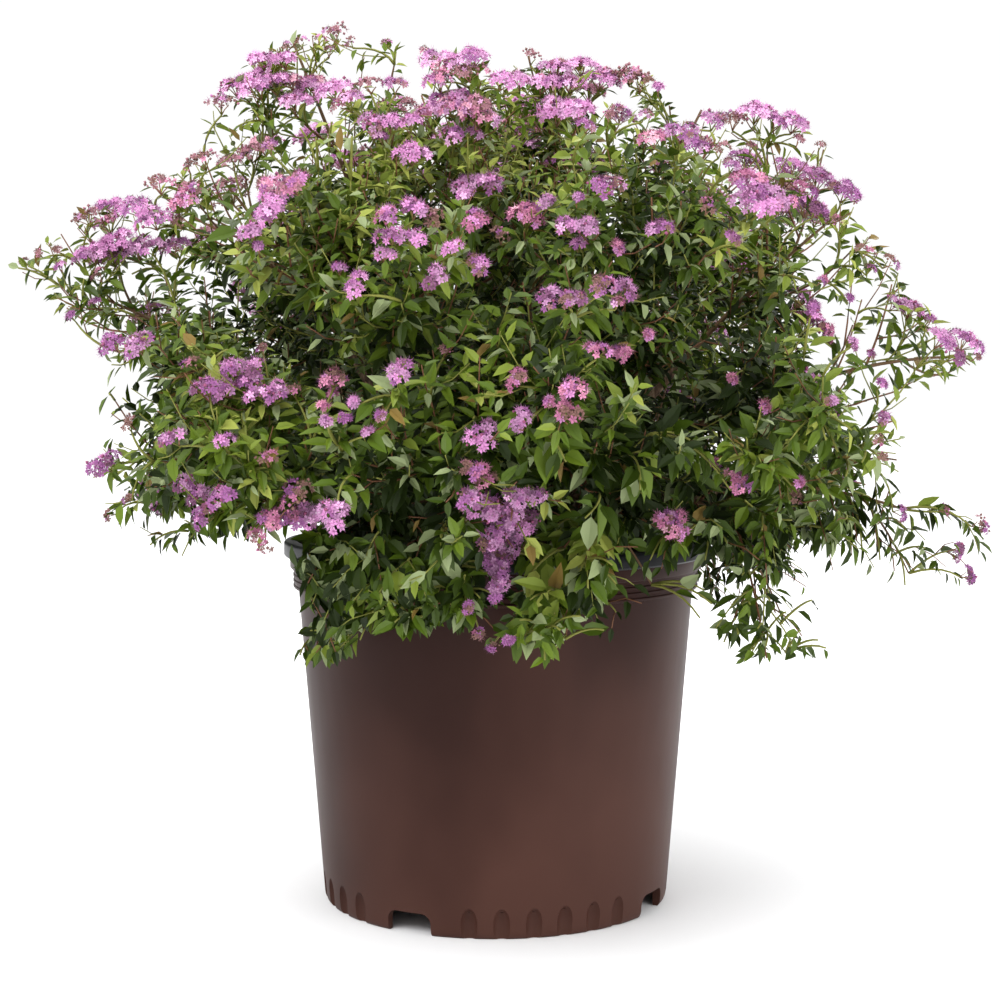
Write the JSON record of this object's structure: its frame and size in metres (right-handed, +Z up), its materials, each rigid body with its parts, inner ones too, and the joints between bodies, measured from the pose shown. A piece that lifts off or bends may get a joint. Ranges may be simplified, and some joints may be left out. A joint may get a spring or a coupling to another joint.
{
  "type": "potted spirea shrub",
  "caption": "Rounded flowering spirea shrub with arching boughs, masses of foliage and flat-topped lilac-pink flower heads, standing in a plain brown nursery pot.",
  "frame": {"origin": "on the floor, at the middle of the pot's foot", "axes": "+Z up, +X to the right of the shrub's best side, and -Y towards the viewer of that side"},
  "size_m": [0.6695, 0.5967, 0.5836],
  "materials": {
    "pot_plastic": "blow-moulded brown plastic, satin",
    "potting_mix": "moist bark-based potting mix",
    "bark": "thin brown bark with lengthwise ridges",
    "foliage": "mid-green leaves, with lilac-pink flower heads"
  },
  "bodies": {
    "root": {"pot": "pot_plastic", "potting_mix": "potting_mix", "stool": "bark", "bough_top": "bark", "bough_crest_left": "bark", "bough_crest_front": "bark", "bough_crest_right": "bark", "bough_crest_back": "bark", "bough_shoulder_right_back": "bark", "bough_shoulder_back": "bark", "bough_shoulder_left_back": "bark", "bough_shoulder_left_front": "bark", "bough_shoulder_front_left": "bark", "bough_shoulder_front_right": "bark", "bough_shoulder_right_front": "bark", "bough_flank_right": "bark", "bough_flank_right_back": "bark", "bough_flank_left_back": "bark", "bough_flank_left": "bark", "bough_flank_left_front": "bark", "bough_flank_front": "bark", "bough_flank_right_front": "bark", "bough_skirt_right": "bark", "bough_skirt_right_back": "bark", "bough_skirt_back_right": "bark", "bough_skirt_back_left": "bark", "bough_skirt_left_back": "bark", "bough_skirt_left": "bark", "bough_skirt_front_left": "bark", "bough_skirt_front_right": "bark", "bough_skirt_right_front": "bark", "foliage_top": "foliage", "foliage_crest_left": "foliage", "foliage_crest_front": "foliage", "foliage_crest_right": "foliage", "foliage_crest_back": "foliage", "foliage_shoulder_right_back": "foliage", "foliage_shoulder_back": "foliage", "foliage_shoulder_left_back": "foliage", "foliage_shoulder_left_front": "foliage", "foliage_shoulder_front_left": "foliage", "foliage_shoulder_front_right": "foliage", "foliage_shoulder_right_front": "foliage", "foliage_flank_right": "foliage", "foliage_flank_right_back": "foliage", "foliage_flank_left_back": "foliage", "foliage_flank_left": "foliage", "foliage_flank_left_front": "foliage", "foliage_flank_front": "foliage", "foliage_flank_right_front": "foliage", "foliage_skirt_right": "foliage", "foliage_skirt_right_back": "foliage", "foliage_skirt_back_right": "foliage", "foliage_skirt_back_left": "foliage", "foliage_skirt_left_back": "foliage", "foliage_skirt_left": "foliage", "foliage_skirt_front_left": "foliage", "foliage_skirt_front_right": "foliage", "foliage_skirt_right_front": "foliage"}
  },
  "joints": []
}
